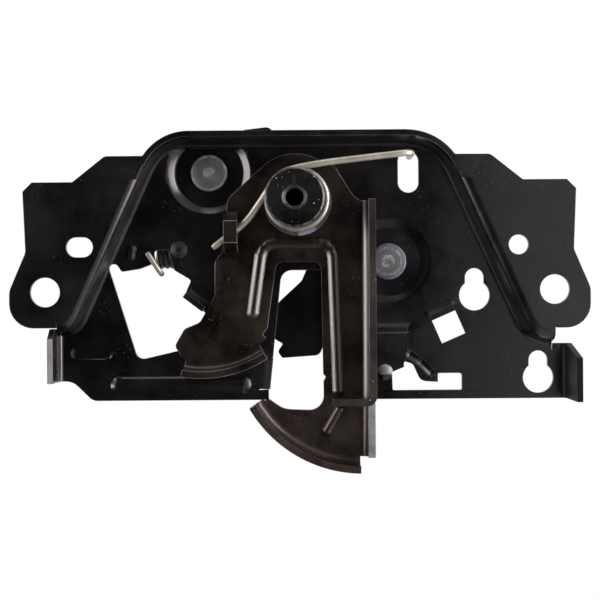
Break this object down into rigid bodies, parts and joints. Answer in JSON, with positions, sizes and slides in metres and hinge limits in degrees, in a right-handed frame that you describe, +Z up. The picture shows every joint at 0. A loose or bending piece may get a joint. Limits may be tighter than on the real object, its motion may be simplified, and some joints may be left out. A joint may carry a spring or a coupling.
{
  "type": "bonnet latch",
  "caption": "Pressed-steel bonnet latch: a dished carrier plate with a sprung claw and pawl behind it and a hooked safety catch swinging on a threaded bush in front.",
  "frame": {"origin": "midway between the two fixing holes, on the mid-plane of the wings' sheet", "axes": "+X to the right along the line of the fixing holes, +Z up, and -Y out of the front that the safety catch is on"},
  "size_m": [0.2008, 0.0358, 0.1209],
  "materials": {
    "plate_coat": "black dip coat, half gloss",
    "catch_coat": "brown-black dip coat, half gloss",
    "claw_steel": "dark oiled steel",
    "bush_steel": "black, worn bright on the rim",
    "rivet_steel": "dull, stamped",
    "spring_wire": "zinc plated",
    "washer_nylon": "natural"
  },
  "bodies": {
    "base": {"base_plate": "plate_coat", "catch_bush": "bush_steel", "spring_washer": "washer_nylon", "catch_spring": "spring_wire", "claw_rivet": "rivet_steel", "claw_spring": "spring_wire", "pawl_rivet": "rivet_steel", "pawl_spring": "spring_wire"},
    "catch": {"safety_catch": "catch_coat"},
    "fork": {"claw": "claw_steel"},
    "release": {"pawl": "claw_steel"}
  },
  "joints": [
    {"name": "catch_swing", "type": "hinge", "parent": "base", "child": "catch", "pos_m": [-0.0016, 0, 0.0321], "axis": [0, -1, 0], "range_deg": [0, 22], "stiffness_Nm_per_rad": 0.3, "springref_deg": -20.05, "deforming": ["catch_spring"]},
    {"name": "claw_turn", "type": "hinge", "parent": "base", "child": "fork", "pos_m": [0.0311, 0, 0.0102], "axis": [0, 1, 0], "range_deg": [0, 40], "stiffness_Nm_per_rad": 0.4, "springref_deg": -20.05, "deforming": ["claw_spring"]},
    {"name": "pawl_lift", "type": "hinge", "parent": "base", "child": "release", "pos_m": [-0.0317, 0, 0.0417], "axis": [0, -1, 0], "range_deg": [0, 13], "stiffness_Nm_per_rad": 0.2, "springref_deg": -20.05, "deforming": ["pawl_spring"]}
  ]
}
